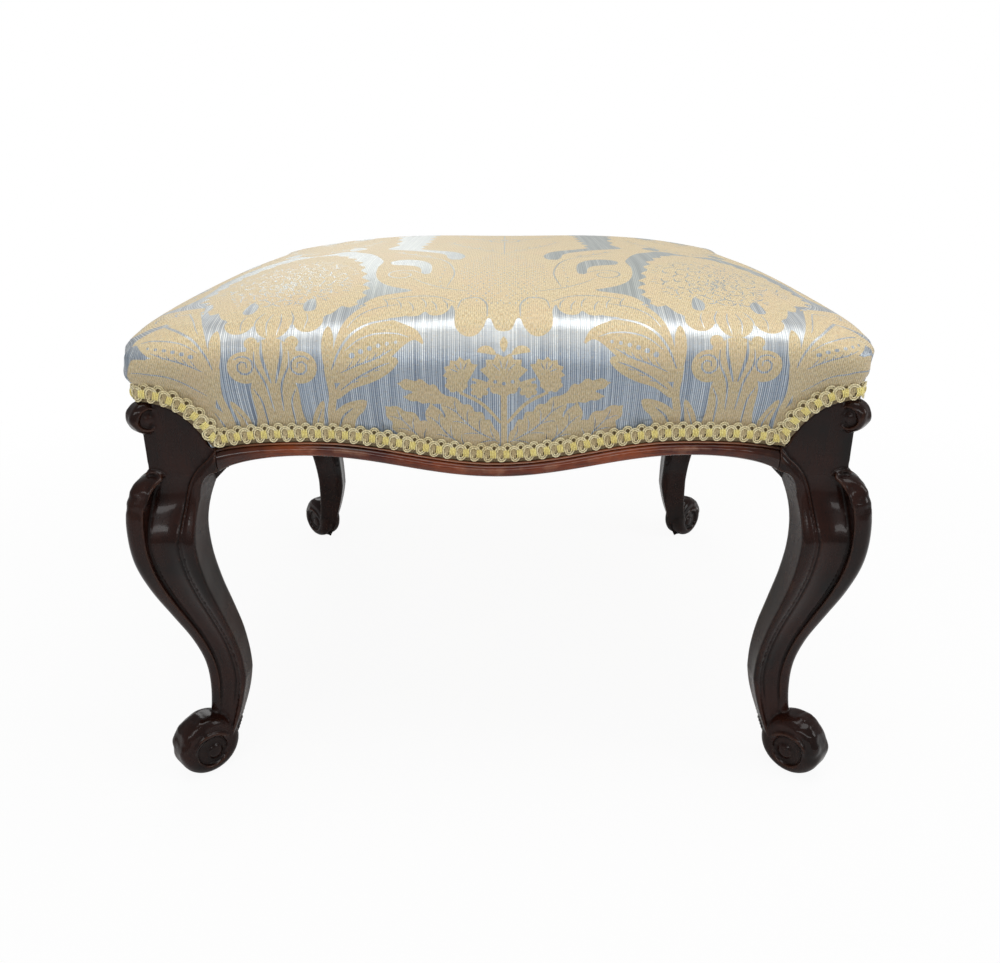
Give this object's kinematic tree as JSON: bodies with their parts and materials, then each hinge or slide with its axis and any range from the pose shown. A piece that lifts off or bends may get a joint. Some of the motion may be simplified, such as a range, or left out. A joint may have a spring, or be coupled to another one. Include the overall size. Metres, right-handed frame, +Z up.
{
  "type": "footstool",
  "caption": "Square upholstered footstool with a crowned damask seat, braid trim, wavy moulded aprons and cabriole legs ending in scroll toes.",
  "frame": {"origin": "on the floor, under the middle of the seat", "axes": "+Z up, the front side towards -Y"},
  "size_m": [0.4782, 0.4782, 0.3531],
  "materials": {
    "polished_walnut": "gloss French polish, dark",
    "apron_walnut": "gloss French polish, worn to red brown",
    "beech": "sawn, bare",
    "screw_steel": "plain steel",
    "blued_steel": "blued",
    "jute_webbing": "plain woven jute",
    "hessian_cloth": "open plain weave",
    "horsehair": "curled hair under calico",
    "cotton_wadding": "soft cotton",
    "damask": "silk damask, gold figure on silver blue satin",
    "gimp_braid": "pale gold scroll braid"
  },
  "bodies": {
    "root": {"leg_front_left": "polished_walnut", "leg_front_right": "polished_walnut", "leg_rear_right": "polished_walnut", "leg_rear_left": "polished_walnut", "rail_front": "beech", "rail_right": "beech", "rail_rear": "beech", "rail_left": "beech", "apron_moulding_front": "apron_walnut", "apron_moulding_right": "apron_walnut", "apron_moulding_rear": "apron_walnut", "apron_moulding_left": "apron_walnut", "corner_block_front_left": "beech", "corner_block_front_right": "beech", "corner_block_rear_right": "beech", "corner_block_rear_left": "beech", "rail_dowels": "beech", "block_screws": "screw_steel", "webbing_lengthwise": "jute_webbing", "webbing_crosswise": "jute_webbing", "webbing_tacks": "blued_steel", "hessian": "hessian_cloth", "stuffing": "horsehair", "side_wadding": "cotton_wadding", "top_cover": "damask", "gimp": "gimp_braid"}
  },
  "joints": []
}
